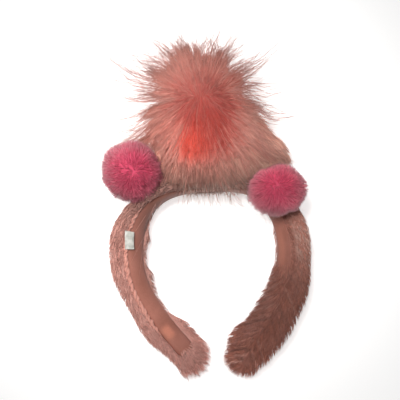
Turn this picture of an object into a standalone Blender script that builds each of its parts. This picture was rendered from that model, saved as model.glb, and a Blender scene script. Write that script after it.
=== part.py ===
"""Plush headband, lying on its back: a padded plush band with a smooth inner strip, a stuffed
mound on its crown, a tuft of long fur on the mound, two pompoms and a folded fabric label.

Metres. +X is to the right seen from the front, +Y points from the head to the crown and +Z
points from the back of the headband to its front. The origin is on the table, under the
middle of the mound."""

import math
import random
from collections import namedtuple

import bmesh
import bpy
import numpy as np
from mathutils import Matrix, Vector

# Clearance between pieces that touch
GAP = 0.0003

# Band, measured to the middle of its inner strip. The left arm is spread out a little more,
# fully from SPREAD_SHARE of its half on.
BAND_HALF_SPAN = 0.0602
BAND_DROP = 0.137
LEFT_SPREAD = 0.0031
BAND_STATIONS = 76
BAND_END_STATIONS = 4
ROUTE_STEPS = 16
ROUTE_STEP = 0.01
SPREAD_SHARE = 0.4
PLUSH_FRONT = 0.0212
PLUSH_BACK = 0.012
PLUSH_OUTER = 0.007
PLUSH_INNER = 0.0045
PLUSH_FRINGE = 0.0115
PLUSH_EDGE = 0.0012
ROLL_WIDTH = 0.0018
ROLL_FALL = 0.72

# Smooth strip on the band's inner face
STRIP_WIDTH = 0.016
STRIP_FLAT = 0.008
STRIP_THICKNESS = 0.0032
STRIP_SEAT = 0.002

# How the headband lies: heights of the band's middle over the table
CROWN_HEIGHT = 0.026
TIP_HEIGHT = 0.0085

# From the middle of the mound down to the strip's face at the crown, where the head goes
SEAT_DEPTH = 0.024

# Stuffed mound on the crown
MOUND_HALF_WIDTH = 0.897 * BAND_HALF_SPAN
MOUND_DEPTH = 0.0275
MOUND_CENTRE_X = 0.0105
MOUND_SEGMENTS = 32
MOUND_RINGS = 16

# Tuft of long fur on the mound
HAIR_CROWN_X = 0.0026
HAIR_CROWN_Y = 0.0460
HAIR_CROWN_Z = 0.0380
HAIR_REACH = 0.080
HAIR_HEAD_SHARE = 0.58
HAIR_HEAD_HEIGHT = 0.021
HAIR_HEAD_Z = 0.0275
HAIR_SEED = 7

# Pompoms
POM_TUFT = 0.0022

# Folded label in the seam of the left arm
LABEL_LENGTH = 0.0135
LABEL_WIDTH = 0.0075
LABEL_THICKNESS = 0.0004
LABEL_FOLD = 0.0009
LABEL_OVERHANG = 0.0032
LABEL_SKEW = 0.0028
LABEL_ROWS = 4

# Route of one half of the band, from the crown to the tip: across and down,
# as shares of BAND_HALF_SPAN and BAND_DROP.
BAND_ROUTE = (
    (0.000, 0.000),
    (0.291, 0.007),
    (0.548, 0.033),
    (0.748, 0.088),
    (0.889, 0.168),
    (0.968, 0.266),
    (1.000, 0.369),
    (0.992, 0.464),
    (0.939, 0.566),
    (0.837, 0.664),
    (0.709, 0.759),
    (0.568, 0.847),
    (0.425, 0.927),
    (0.299, 1.000),
)

# Turn of the strip's face from the head towards the front: share of the half band, degrees.
BAND_TWIST = (
    (0.00, 0.0),
    (0.08, 0.0),
    (0.22, 16.0),
    (0.34, 38.0),
    (0.46, 52.0),
    (0.70, 56.0),
    (1.00, 60.0),
)

# Width of the plush on each side of the strip: share of the half band, then the front and
# the back width as shares of PLUSH_FRONT and PLUSH_BACK. No side is narrower than PLUSH_EDGE.
LEFT_PLUSH = (
    (0.00, 0.52, 0.90),
    (0.24, 0.58, 0.88),
    (0.33, 0.86, 0.94),
    (0.37, 1.00, 1.00),
    (0.405, 1.00, 1.46),
    (0.45, 0.94, 0.92),
    (0.54, 0.92, 0.88),
    (0.585, 0.86, 1.26),
    (0.64, 0.76, 0.92),
    (0.70, 0.76, 0.82),
    (0.78, 0.88, 0.86),
    (0.82, 0.84, 1.00),
    (0.855, 0.76, 1.50),
    (0.90, 0.66, 1.46),
    (0.97, 0.58, 1.54),
    (1.00, 0.66, 1.44),
)
RIGHT_PLUSH = (
    (0.00, 0.52, 0.90),
    (0.24, 0.58, 0.84),
    (0.33, 0.86, 0.80),
    (0.38, 0.96, 0.80),
    (0.42, 0.92, 0.80),
    (0.55, 0.91, 0.86),
    (0.62, 0.99, 0.92),
    (0.68, 1.05, 0.86),
    (0.75, 1.04, 0.80),
    (0.82, 1.07, 0.94),
    (0.86, 1.01, 1.00),
    (0.90, 0.97, 1.40),
    (0.95, 0.90, 1.44),
    (1.00, 0.80, 1.06),
)

# Outline of the mound from the front: degrees from +X, share of MOUND_HALF_WIDTH.
MOUND_OUTLINE = (
    (0, 1.000),
    (16, 0.915),
    (35, 0.850),
    (62, 0.850),
    (90, 0.880),
    (118, 0.860),
    (148, 0.845),
    (166, 0.930),
    (180, 0.990),
    (202, 0.900),
    (226, 0.670),
    (248, 0.530),
    (270, 0.495),
    (292, 0.530),
    (314, 0.670),
    (340, 0.910),
)

# Reach of the long fur from its crown: degrees from +X, share of HAIR_REACH.
HAIR_OUTLINE = (
    (0, 0.72),
    (30, 0.66),
    (60, 0.66),
    (90, 0.72),
    (120, 0.72),
    (150, 0.80),
    (180, 0.82),
    (200, 0.98),
    (216, 1.00),
    (234, 0.80),
    (250, 0.70),
    (270, 0.68),
    (295, 0.72),
    (317, 0.86),
    (333, 0.98),
    (346, 0.88),
)

# Layers of locks, front to back: number, first and last angle in degrees, share of the
# outline's reach, end height as a share of CROWN_HEIGHT.
HAIR_LAYERS = (
    (17, 0, 339, 1.00, 1.12),
    (10, 9, 342, 0.70, 2.00),
    (8, -16, 196, 0.97, 0.73),
    (8, -24, 204, 0.90, 0.29),
)

# Locks: radius at the root as a share of HAIR_REACH, how fast it falls, its least share, the
# share of its length at which a lock leaves the root, how late it falls, and the height of a
# lying lock's middle over the mound
LOCK_RADIUS = 0.128
LOCK_TAPER = 0.65
LOCK_TIP = 0.07
LOCK_START = 0.22
LOCK_STEPS = 5
LOCK_FALL = 1.4
LOCK_LIFT = 0.0012

# Pompoms: name, share of BAND_HALF_SPAN across, height up the picture and over the table,
# half sizes, and the direction and depth of the dent where the pile parts.
Pompom = namedtuple("Pompom", "name across up over sizes dent_direction dent_depth")
POMPOMS = (
    Pompom("left_pompom", -0.993, -0.0062, 0.0380, (0.0248, 0.0252, 0.0248),
           (0.42, -0.70, 0.58), 0.0045),
    Pompom("right_pompom", 0.879, -0.0296, 0.0475, (0.0232, 0.0206, 0.0222),
           (0.30, -0.45, 0.84), 0.0020),
)

# Where the label sits: share of the left half band from the crown.
LABEL_AT = 0.425

# Colours of the pieces: linear red, green and blue, then roughness
COLOURS = {
    "plush_pink": ((0.52, 0.25, 0.215), 0.9),
    "strip_rose": ((0.38, 0.16, 0.115), 0.75),
    "mound_cream": ((0.50, 0.27, 0.22), 0.9),
    "fur_coral": ((0.53, 0.13, 0.10), 0.65),
    "left_magenta": ((0.49, 0.055, 0.12), 0.7),
    "right_magenta": ((0.47, 0.060, 0.12), 0.7),
    "label_white": ((0.60, 0.60, 0.56), 0.6),
}

Station = namedtuple("Station", "centre across inward share")


def clear_scene():
    for obj in list(bpy.data.objects):
        bpy.data.objects.remove(obj)


def make_collection(name):
    made = bpy.data.collections.new(name)
    bpy.context.scene.collection.children.link(made)
    return made


def make_material(name):
    colour, roughness = COLOURS[name]
    material = bpy.data.materials.new(name)
    material.use_nodes = True
    shader = material.node_tree.nodes["Principled BSDF"]
    shader.inputs["Base Color"].default_value = (*colour, 1.0)
    shader.inputs["Roughness"].default_value = roughness
    shader.inputs["Metallic"].default_value = 0.0
    material.diffuse_color = (*colour, 1.0)
    return material


def add_object(name, mesh, collection, material=None):
    obj = bpy.data.objects.new(name, mesh)
    collection.objects.link(obj)
    if material:
        mesh.materials.append(material)
    return obj


def mesh_from_bmesh(name, bm):
    bmesh.ops.recalc_face_normals(bm, faces=bm.faces)
    mesh = bpy.data.meshes.new(name)
    bm.to_mesh(mesh)
    bm.free()
    return mesh


def add_cutter(name, mesh, collection):
    obj = add_object(name, mesh, collection)
    obj.hide_render = True
    obj.display_type = "WIRE"
    return obj


def boolean(obj, other, operation):
    modifier = obj.modifiers.new(f"{operation} {other.name}", "BOOLEAN")
    modifier.operation = operation
    modifier.solver = "EXACT"
    modifier.object = other


def eased(table, column, at):
    """Value of a table's column at a share, with a smooth step between its rows."""
    rows = [row[0] for row in table]
    if at <= rows[0]:
        return table[0][column]
    if at >= rows[-1]:
        return table[-1][column]
    i = int(np.searchsorted(rows, at)) - 1
    t = (at - rows[i]) / (rows[i + 1] - rows[i])
    t = t * t * (3 - 2 * t)
    return table[i][column] * (1 - t) + table[i + 1][column] * t


def around(table, degrees):
    """Value of a table of angles and shares at any angle, with a smooth curve through them."""
    angles = [row[0] for row in table]
    values = [row[1] for row in table]
    count = len(table)
    degrees %= 360
    i = max(k for k in range(count) if angles[k] <= degrees)
    following = angles[(i + 1) % count] + (360 if i + 1 == count else 0)
    t = (degrees - angles[i]) / (following - angles[i])
    before, here, after, beyond = (values[(i + k) % count] for k in (-1, 0, 1, 2))
    return here + 0.5 * t * (
        after - before
        + t * (2 * before - 5 * here + 4 * after - beyond
               + t * (3 * (here - after) + beyond - before))
    )


def curve_points(controls, per_span):
    """Points on a smooth curve through the control points."""
    padded = [2 * controls[0] - controls[1], *controls, 2 * controls[-1] - controls[-2]]
    points = []
    for a, b, c, d in zip(padded, padded[1:], padded[2:], padded[3:]):
        for step in range(per_span):
            t = step / per_span
            points.append(0.5 * (
                2 * b + (c - a) * t
                + (2 * a - 5 * b + 4 * c - d) * t * t
                + (3 * b - a - 3 * c + d) * t * t * t
            ))
    return [*points, controls[-1]]


class BandRoute:
    """The middle line of the band, from the left tip to the right one."""

    def __init__(self):
        half = [
            Vector((across * BAND_HALF_SPAN, -down * BAND_DROP, 0.0))
            for across, down in BAND_ROUTE
        ]
        controls = [Vector((-p.x, p.y, 0.0)) for p in reversed(half[1:])] + half
        first = controls[0] - controls[1]
        last = controls[-1] - controls[-2]
        controls = [
            controls[0] + first.normalized() * PLUSH_FRINGE,
            *controls,
            controls[-1] + last.normalized() * PLUSH_FRINGE,
        ]
        self.line = np.array(curve_points(controls, ROUTE_STEPS))
        steps = np.linalg.norm(np.diff(self.line, axis=0), axis=1)
        self.lengths = np.concatenate([[0], np.cumsum(steps)])
        self.middle = self.lengths[-1] / 2
        self.half_length = self.middle - PLUSH_FRINGE
        self.last = self.middle / self.half_length

    def point(self, share):
        """Point of the line at a share of the half band, with the slope it lies at."""
        where = self.middle + share * self.half_length
        x, y = (float(np.interp(where, self.lengths, self.line[:, k])) for k in range(2))
        left = min(1.0, max(0.0, -share / SPREAD_SHARE))
        x -= LEFT_SPREAD * left * left * (3 - 2 * left)
        rise = y * (CROWN_HEIGHT - TIP_HEIGHT) / BAND_DROP
        face = STRIP_SEAT + GAP + STRIP_THICKNESS - SEAT_DEPTH
        return Vector((x, y + face, CROWN_HEIGHT + rise))

    def station(self, share):
        """Frame of the band at a share of the half band."""
        centre = self.point(share)
        step = self.point(min(share + ROUTE_STEP, self.last))
        direction = (step - self.point(max(share - ROUTE_STEP, -self.last))).normalized()
        outward = Vector((-direction.y, direction.x, 0.0)).normalized()
        up = direction.cross(outward)
        twist = math.radians(eased(BAND_TWIST, 1, abs(share)))
        across = outward * math.sin(twist) + up * math.cos(twist)
        inward = -outward * math.cos(twist) + up * math.sin(twist)
        return Station(centre, across, inward, float(share))

    def stations(self):
        """Stations of the whole band: even along the strip, then closing at the tips."""
        ends = [
            1 + (self.last - 1) * math.sin(math.pi / 2 * k / BAND_END_STATIONS)
            for k in range(1, BAND_END_STATIONS + 1)
        ]
        strip = np.linspace(-1, 1, BAND_STATIONS)
        return [self.station(s) for s in (*(-e for e in reversed(ends)), *strip, *ends)]


def plush_widths(share):
    """Front and back width of the plush, from the middle of the strip."""
    table = LEFT_PLUSH if share < 0 else RIGHT_PLUSH
    least = STRIP_WIDTH / 2 + GAP + PLUSH_EDGE
    front = eased(table, 1, abs(share)) * PLUSH_FRONT
    back = eased(table, 2, abs(share)) * PLUSH_BACK
    return max(front, least), max(back, least)


def tip_scale(share, last):
    """1 along the band, falling to a small end past the strip."""
    past = max(0.0, (abs(share) - 1) / (last - 1))
    return math.sqrt(max(0.0, 1 - past * past)) * 0.9 + 0.1


def border(width, seat):
    """The plush beside the strip: a roll that is as full as its width lets it be, and its fall
    to the edge. Points from the edge to the channel, without their side's sign."""
    channel = STRIP_WIDTH / 2 + GAP
    free = width - channel
    full = min(1.0, (free - PLUSH_EDGE) / ROLL_WIDTH)
    roll = channel + min(ROLL_WIDTH, 0.5 * free)
    top = seat + (PLUSH_INNER - seat) * full
    return [(width, 0.0), ((roll + width) / 2, ROLL_FALL * top), (roll, top), (channel, seat)]


def plush_section(station, last):
    """Outline of the plush round the core, with a channel for the strip."""
    front, back = plush_widths(station.share)
    past = max(0.0, (abs(station.share) - 1) / (last - 1))
    seat = STRIP_SEAT + (PLUSH_INNER - STRIP_SEAT) * min(1.0, 2 * past)
    scale = tip_scale(station.share, last)
    return [(w * scale, l * scale) for w, l in (
        *border(front, seat),
        *((-w, l) for w, l in reversed(border(back, seat))),
        (-0.8 * back, -0.60 * PLUSH_OUTER),
        (-0.4 * back, -0.93 * PLUSH_OUTER),
        (0.0, -PLUSH_OUTER),
        (0.4 * front, -0.93 * PLUSH_OUTER),
        (0.8 * front, -0.60 * PLUSH_OUTER),
    )]


def strip_section(station):
    """Outline of the smooth strip: a flat back, and a full face with a flat middle."""
    taper = min(1.0, 0.45 + 14 * (1 - abs(station.share)))
    low = STRIP_SEAT + GAP
    high = low + STRIP_THICKNESS * min(1.0, 0.5 + taper / 2)
    side = STRIP_WIDTH / 2 * taper
    flat = STRIP_FLAT / 2 * taper
    return [
        (side, low),
        (0.93 * side, low + 0.55 * (high - low)),
        (flat, high),
        (-flat, high),
        (-0.93 * side, low + 0.55 * (high - low)),
        (-side, low),
    ]


def cutter_section(station, last, head_side):
    """Outline of the band grown by the gap, reaching head_side past its middle."""
    front, back = plush_widths(station.share)
    front += GAP
    back += GAP
    outer = PLUSH_OUTER + GAP
    scale = tip_scale(station.share, last)
    return [(w * scale, l * scale) for w, l in (
        (front, 0.0),
        (front, head_side),
        (STRIP_FLAT / 2, head_side),
        (-STRIP_FLAT / 2, head_side),
        (-back, head_side),
        (-back, 0.0),
        (-0.8 * back, -0.60 * outer - GAP),
        (-0.4 * back, -0.93 * outer - GAP),
        (0.0, -outer),
        (0.4 * front, -0.93 * outer - GAP),
        (0.8 * front, -0.60 * outer - GAP),
    )]


def loft(name, stations, sections):
    """Closed mesh through one section at each station, with flat ends. Every face is split
    from its back edge to the next station's front edge, so that seats match."""
    bm = bmesh.new()
    rings = [
        [bm.verts.new(s.centre + s.across * w + s.inward * l) for w, l in section]
        for s, section in zip(stations, sections)
    ]
    count = len(sections[0])
    for ring, after, section in zip(rings, rings[1:], sections):
        for k in range(count):
            n = (k + 1) % count
            if section[k][0] < section[n][0]:
                bm.faces.new((ring[k], ring[n], after[n]))
                bm.faces.new((ring[k], after[n], after[k]))
            else:
                bm.faces.new((ring[k], ring[n], after[k]))
                bm.faces.new((ring[n], after[n], after[k]))
    bm.faces.new(rings[0])
    bm.faces.new(reversed(rings[-1]))
    return mesh_from_bmesh(name, bm)


def mound_front(x, y):
    """Height of the mound's front at a point, or None beside it."""
    dx = x - MOUND_CENTRE_X
    edge = MOUND_HALF_WIDTH * around(MOUND_OUTLINE, math.degrees(math.atan2(y, dx)))
    share = math.hypot(dx, y) / edge
    return CROWN_HEIGHT + MOUND_DEPTH * math.sqrt(1 - share * share) if share < 1 else None


def mound_mesh(name, grow):
    """The stuffed mound: a ball drawn out to the outline."""
    bm = bmesh.new()
    bmesh.ops.create_uvsphere(bm, u_segments=MOUND_SEGMENTS, v_segments=MOUND_RINGS, radius=1.0)
    for vert in bm.verts:
        x, y, z = vert.co
        edge = MOUND_HALF_WIDTH * around(MOUND_OUTLINE, math.degrees(math.atan2(y, x))) + grow
        vert.co = Vector((
            MOUND_CENTRE_X + x * edge,
            y * edge,
            CROWN_HEIGHT + z * (MOUND_DEPTH + grow),
        ))
    return mesh_from_bmesh(name, bm)


def pompom_mesh(pompom, grow, tufted):
    """A ball whose coarse points stand out as tufts, dented where its pile parts."""
    bm = bmesh.new()
    bmesh.ops.create_icosphere(bm, subdivisions=3, radius=1.0)
    tufts = len(bm.verts)
    bm.free()
    bm = bmesh.new()
    bmesh.ops.create_icosphere(bm, subdivisions=4 if tufted else 3, radius=1.0)
    bm.verts.ensure_lookup_table()
    centre = Vector((pompom.across * BAND_HALF_SPAN, pompom.up, pompom.over))
    dent = Vector(pompom.dent_direction).normalized()
    for i, vert in enumerate(bm.verts):
        direction = vert.co.normalized()
        change = grow
        if tufted:
            change -= POM_TUFT * (i >= tufts)
            change -= pompom.dent_depth * math.exp(-((direction - dent).length / 0.35) ** 2)
        vert.co = centre + Vector(
            (size + change) * along for size, along in zip(pompom.sizes, direction)
        )
    return mesh_from_bmesh(pompom.name, bm)


def lock_points(angle, reach, end_height, bend):
    """Middle of a lock of fur: out from the crown, over the mound, and down past it."""
    crown = Vector((HAIR_CROWN_X, HAIR_CROWN_Y, HAIR_CROWN_Z))
    points = []
    for k in range(LOCK_STEPS + 1):
        t = LOCK_START + (1 - LOCK_START) * k / LOCK_STEPS
        turn = math.radians(angle + bend * t * t)
        x = crown.x + math.cos(turn) * reach * t
        y = crown.y + math.sin(turn) * reach * t
        free = crown.z + (end_height - crown.z) * t ** LOCK_FALL
        under = mound_front(x, y)
        lying = free if under is None else under + LOCK_LIFT
        points.append(Vector((x, y, max(free, lying))))
    return points


def lock_mesh(name, points, radius, collection):
    """A tapered tube along the points, as a closed mesh."""
    curve = bpy.data.curves.new(name, "CURVE")
    curve.dimensions = "3D"
    curve.bevel_depth = radius
    curve.bevel_resolution = 1
    curve.use_fill_caps = True
    spline = curve.splines.new("POLY")
    spline.points.add(len(points) - 1)
    for k, (point, at) in enumerate(zip(spline.points, points)):
        t = k / (len(points) - 1)
        point.co = (*at, 1.0)
        point.radius = max(LOCK_TIP, (1 - t) ** LOCK_TAPER)
    guide = bpy.data.objects.new(name, curve)
    collection.objects.link(guide)
    graph = bpy.context.evaluated_depsgraph_get()
    mesh = bpy.data.meshes.new_from_object(guide.evaluated_get(graph))
    bpy.data.objects.remove(guide)
    bm = bmesh.new()
    bm.from_mesh(mesh)
    bmesh.ops.remove_doubles(bm, verts=bm.verts, dist=0.00001)
    bpy.data.meshes.remove(mesh)
    return mesh_from_bmesh(name, bm)


def add_locks(collection):
    """All locks of the tuft, layer by layer."""
    chance = random.Random(HAIR_SEED)
    for layer, (count, first, last, share, height) in enumerate(HAIR_LAYERS):
        for k in range(count):
            angle = first + (last - first) * k / (count - 1) + chance.uniform(-4, 4)
            reach = HAIR_REACH * around(HAIR_OUTLINE, angle) * share * chance.uniform(0.90, 1.04)
            points = lock_points(angle, reach, height * CROWN_HEIGHT, chance.uniform(-12, 12))
            radius = HAIR_REACH * LOCK_RADIUS * chance.uniform(0.85, 1.1)
            name = f"lock_{layer}_{k}"
            mesh = lock_mesh(name, points, radius, collection)
            add_cutter(name, mesh, collection)


def hair_head_mesh(name):
    """The root of the tuft, which all locks grow out of."""
    bm = bmesh.new()
    bmesh.ops.create_uvsphere(bm, u_segments=28, v_segments=12, radius=1.0)
    for vert in bm.verts:
        x, y, z = vert.co
        turn = math.degrees(math.atan2(y, x))
        edge = HAIR_REACH * around(HAIR_OUTLINE, turn) * HAIR_HEAD_SHARE
        vert.co = Vector((
            HAIR_CROWN_X + x * edge,
            HAIR_CROWN_Y + y * edge,
            HAIR_HEAD_Z + z * HAIR_HEAD_HEIGHT,
        ))
    return mesh_from_bmesh(name, bm)


def label_mesh(name, route):
    """A ribbon folded once and lying on the plush, with both ends over the seam."""
    half = LABEL_LENGTH / 2 / route.half_length
    bm = bmesh.new()
    rows = []
    for share in np.linspace(-LABEL_AT - half, -LABEL_AT + half, LABEL_ROWS):
        station = route.station(share)
        _, fall, roll, _ = border(plush_widths(share)[0], STRIP_SEAT)
        slope = (fall[1] - roll[1]) / (fall[0] - roll[0])
        askew = LABEL_SKEW * ((share + LABEL_AT) / (2 * half))
        start = STRIP_WIDTH / 2 - LABEL_OVERHANG + askew
        low = roll[1] + GAP + LABEL_THICKNESS + (start - roll[0]) * slope
        rows.append([
            bm.verts.new(
                station.centre
                + station.across * (start + out)
                + station.inward * (low + out * slope + rise)
            )
            for out, rise in (
                (0.0, 0.0),
                (0.5 * LABEL_WIDTH, 0.0),
                (LABEL_WIDTH - 0.4 * LABEL_FOLD, 0.0),
                (LABEL_WIDTH, 0.5 * LABEL_FOLD),
                (LABEL_WIDTH - 0.4 * LABEL_FOLD, LABEL_FOLD),
                (0.5 * LABEL_WIDTH, LABEL_FOLD),
                (0.0, LABEL_FOLD),
            )
        ])
    for row, after in zip(rows, rows[1:]):
        for k in range(len(row) - 1):
            bm.faces.new((row[k], row[k + 1], after[k + 1], after[k]))
    return mesh_from_bmesh(name, bm)


def table_cutter(collection):
    """Everything under the table, to flatten what rests on it."""
    side, depth = 0.8, 0.1
    bm = bmesh.new()
    bmesh.ops.create_cube(bm, size=1.0, matrix=Matrix.Translation((0, 0, -depth / 2))
                          @ Matrix.Diagonal((side, side, depth, 1.0)))
    return add_cutter("under_table", mesh_from_bmesh("under_table", bm), collection)


def build():
    clear_scene()
    parts = make_collection("plush_headband")
    cutters = make_collection("cutters")
    locks = make_collection("locks")
    materials = {name: make_material(name) for name in COLOURS}
    add_locks(locks)
    route = BandRoute()
    stations = route.stations()
    last = route.last
    table = table_cutter(cutters)

    # Plush band and the smooth strip in its channel
    band = add_object(
        "band_plush",
        loft("band_plush", stations, [plush_section(s, last) for s in stations]),
        parts, materials["plush_pink"],
    )
    boolean(band, table, "DIFFERENCE")
    inner = [s for s in stations if abs(s.share) <= 1]
    add_object("inner_strip", loft("inner_strip", inner, [strip_section(s) for s in inner]),
               parts, materials["strip_rose"])

    # Cutters that seat the mound, the fur and the pompoms
    open_side = 5 * PLUSH_INNER
    strip_side = STRIP_SEAT + STRIP_THICKNESS + 2 * GAP
    saddle = add_cutter(
        "band_saddle",
        loft("band_saddle", stations, [cutter_section(s, last, open_side) for s in stations]),
        cutters,
    )
    seat = add_cutter(
        "band_seat",
        loft("band_seat", stations, [cutter_section(s, last, strip_side) for s in stations]),
        cutters,
    )
    mound_seat = add_cutter("mound_seat", mound_mesh("mound_seat", GAP), cutters)

    # Stuffed mound astride the crown
    mound = add_object("crown_mound", mound_mesh("crown_mound", 0.0), parts,
                       materials["mound_cream"])
    boolean(mound, saddle, "DIFFERENCE")
    boolean(mound, table, "DIFFERENCE")

    # Pompoms on the shoulders
    pom_seats = []
    for pompom in POMPOMS:
        ball = add_object(pompom.name, pompom_mesh(pompom, 0.0, True), parts,
                          materials[f"{pompom.name.split('_')[0]}_magenta"])
        for cutter in (seat, mound_seat, table):
            boolean(ball, cutter, "DIFFERENCE")
        pom_seats.append(
            add_cutter(f"{pompom.name}_seat", pompom_mesh(pompom, GAP, False), cutters)
        )

    # Long fur: locks fused to their root, then seated on the mound
    hair = add_object("fur_tuft", hair_head_mesh("fur_tuft"), parts, materials["fur_coral"])
    union = hair.modifiers.new("UNION locks", "BOOLEAN")
    union.operation = "UNION"
    union.solver = "EXACT"
    union.operand_type = "COLLECTION"
    union.collection = locks
    for cutter in (mound_seat, table, *pom_seats):
        boolean(hair, cutter, "DIFFERENCE")

    # Label
    label = add_object("care_label", label_mesh("care_label", route), parts,
                       materials["label_white"])
    solid = label.modifiers.new("ribbon", "SOLIDIFY")
    solid.thickness = LABEL_THICKNESS
    solid.offset = 0.0

    bpy.context.view_layer.update()


build()
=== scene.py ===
"""The looks of the plush headband: long fur, pompoms, pile, smooth inner strip and label."""

import math

import bpy
import numpy as np
from mathutils import Matrix, Vector, noise


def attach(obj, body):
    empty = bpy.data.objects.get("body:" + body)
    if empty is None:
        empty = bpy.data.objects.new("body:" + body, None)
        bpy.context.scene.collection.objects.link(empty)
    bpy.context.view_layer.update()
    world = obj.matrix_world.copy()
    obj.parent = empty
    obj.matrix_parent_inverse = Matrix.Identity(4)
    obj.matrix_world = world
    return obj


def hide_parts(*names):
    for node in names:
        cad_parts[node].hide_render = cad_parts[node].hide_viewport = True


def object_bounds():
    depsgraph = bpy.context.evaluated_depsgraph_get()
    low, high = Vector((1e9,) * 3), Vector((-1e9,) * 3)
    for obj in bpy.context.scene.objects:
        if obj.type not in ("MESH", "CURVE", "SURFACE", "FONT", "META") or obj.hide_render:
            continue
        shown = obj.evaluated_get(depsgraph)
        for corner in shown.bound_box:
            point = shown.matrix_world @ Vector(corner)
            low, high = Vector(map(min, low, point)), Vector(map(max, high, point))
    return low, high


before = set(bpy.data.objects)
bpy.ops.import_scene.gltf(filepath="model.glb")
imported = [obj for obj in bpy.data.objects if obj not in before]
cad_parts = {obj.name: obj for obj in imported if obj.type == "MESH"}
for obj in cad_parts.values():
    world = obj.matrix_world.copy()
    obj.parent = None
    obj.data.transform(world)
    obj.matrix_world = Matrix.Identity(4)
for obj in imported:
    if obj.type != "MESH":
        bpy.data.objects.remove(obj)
CAD_BOX = [list(corner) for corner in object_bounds()]

# Middle line of the band, as the part is built
BAND_HALF_SPAN = 0.0602
BAND_DROP = 0.137
LEFT_SPREAD = 0.0031
SPREAD_SHARE = 0.4
STRIP_FACE = 0.0055
SEAT_DEPTH = 0.024
CROWN_HEIGHT = 0.026
TIP_HEIGHT = 0.0085
PLUSH_FRINGE = 0.0115
STRIP_WIDTH = 0.016
STRIP_LOW = 0.0024
STRIP_HIGH = 0.0056
TUCK_AT = -0.845
LABEL_LENGTH = 0.0135
LABEL_WIDTH = 0.0072
LABEL_OVERHANG = 0.0032
LABEL_SKEW = 0.0028
LABEL_AT = 0.425

# Route of one half of the band, from the crown to the tip: across and down,
# as shares of BAND_HALF_SPAN and BAND_DROP
BAND_ROUTE = (
    (0.000, 0.000),
    (0.291, 0.007),
    (0.548, 0.033),
    (0.748, 0.088),
    (0.889, 0.168),
    (0.968, 0.266),
    (1.000, 0.369),
    (0.992, 0.464),
    (0.939, 0.566),
    (0.837, 0.664),
    (0.709, 0.759),
    (0.568, 0.847),
    (0.425, 0.927),
    (0.299, 1.000),
)

# Turn of the strip's face towards the front: share of the half band, degrees
BAND_TWIST = (
    (0.00, 0.0),
    (0.08, 0.0),
    (0.22, 16.0),
    (0.34, 38.0),
    (0.46, 52.0),
    (0.70, 56.0),
    (1.00, 60.0),
)

# Painted shade along the strip, as a brightness: darkest under the mound and the pompoms, and
# darker on the right arm: share from the left tip to the right one
STRIP_PAINTED_SHADE = (
    (-1.00, 0.90),
    (-0.75, 1.00),
    (-0.55, 0.82),
    (-0.40, 0.66),
    (-0.30, 0.46),
    (0.00, 0.40),
    (0.35, 0.80),
    (0.60, 0.62),
    (1.00, 0.60),
)

# Painted light across the strip: how much brighter it is at its front edge: share
STRIP_PAINTED_SIDE_LIGHT = (
    (-1.00, 0.05),
    (-0.70, 0.12),
    (-0.40, 0.34),
    (0.00, 0.20),
    (1.00, 0.10),
)

# Painted shade along the plush, as a brightness: darkest under the mound and the pompoms: share
PLUSH_PAINTED_SHADE = (
    (-1.00, 1.34),
    (-0.88, 1.24),
    (-0.70, 1.20),
    (-0.45, 1.20),
    (-0.36, 1.00),
    (-0.28, 0.60),
    (-0.10, 0.36),
    (0.25, 0.50),
    (0.40, 1.10),
    (0.60, 0.86),
    (0.80, 0.88),
    (1.00, 1.20),
)

# Widths and heights of the band's borders over its middle line
BORDER_ROLL = 0.0101
BORDER_TOP = 0.0045
BORDER_SLOPE = -0.21

# Seed of the swirls in every pile: without one, they differ in each run
SWIRL_SEED = 7

# The band's pile
BAND_FIBRES = 12300
BAND_PILE = 0.0038
BAND_FIBRE = 0.00023

# Where the right arm's pile turns shaggy: share at the start, and how much share the change takes
SHAGGY_AT = 0.50
SHAGGY_RISE = 0.25

# How far the line that the right arm's pile parts from lies in front of the strip's middle
SPINE = 0.006

# The silvery locks on the right arm: colour, share of their middle and how far they spread
SILVER = (0.58, 0.40, 0.345)
SILVER_AT = 0.46
SILVER_SPREAD = 0.085

# Where the strip has a salmon patch on the right arm: share
SALMON_PATCH_AT = 0.50

# Where the fringe of both tips starts: share
FRINGE_AT = 0.94

# How far the plush of the left tip is drawn back, and the share at which that starts
TIP_TUCK = 0.0035
TIP_TUCK_AT = 0.95

# Pile that grows over the strip: fibres, shares of the band, sides of the strip
OVER_STRIP = (
    (2800, (0.56, 1.0), (-1.25, 1.30)),
    (1400, (0.26, 0.64), (0.62, 1.40)),
    (900, (0.50, 1.0), (0.70, 1.35)),
    (400, (-0.940, -0.995), (-1.1, 1.1)),
)

# Half of the width of the band that the mound hides
HIDDEN_HALF = 0.030

# The gathered seam on the left arm: first and last share, and how thick its two folds are
SEAM_FIRST = -0.84
SEAM_LAST = -0.27
SEAM_FOLD = 0.0010

# Mound
MOUND_CENTRE_X = 0.0105
MOUND_HALF_WIDTH = 0.054
MOUND_DEPTH = 0.0275

# Outline of the mound from the front: degrees from +X, share of MOUND_HALF_WIDTH
MOUND_OUTLINE = (
    (0, 1.000),
    (16, 0.915),
    (35, 0.850),
    (62, 0.850),
    (90, 0.880),
    (118, 0.860),
    (148, 0.845),
    (166, 0.930),
    (180, 0.990),
    (202, 0.900),
    (226, 0.670),
    (248, 0.530),
    (270, 0.495),
    (292, 0.530),
    (314, 0.670),
    (340, 0.910),
)

# The mound's pile, and the fine hairs that hang from its low edge
MOUND_FIBRES = 10300
MOUND_PILE = 0.0140
MOUND_FIBRE = 0.00020
HANGING_HAIRS = 170
HANGING_HAIR = 0.00013

# Where the long fur starts, and how far its parting runs to each side
FUR_CROWN = (-0.002, 0.0462)
PARTING = 0.006

# Heights of the long fur: its top, the middle of the fan and of the skirt at their edges, its
# underside below the crown, and how far from the crown its dome falls
FUR_TOP = 0.052
FAN_MIDDLE = 0.026
SKIRT_MIDDLE = 0.020
FUR_UNDER = 0.016
FUR_DOME = 0.047

# Share of the fur's reach that its body has under the fibres
BODY_REACH = 0.74

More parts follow.
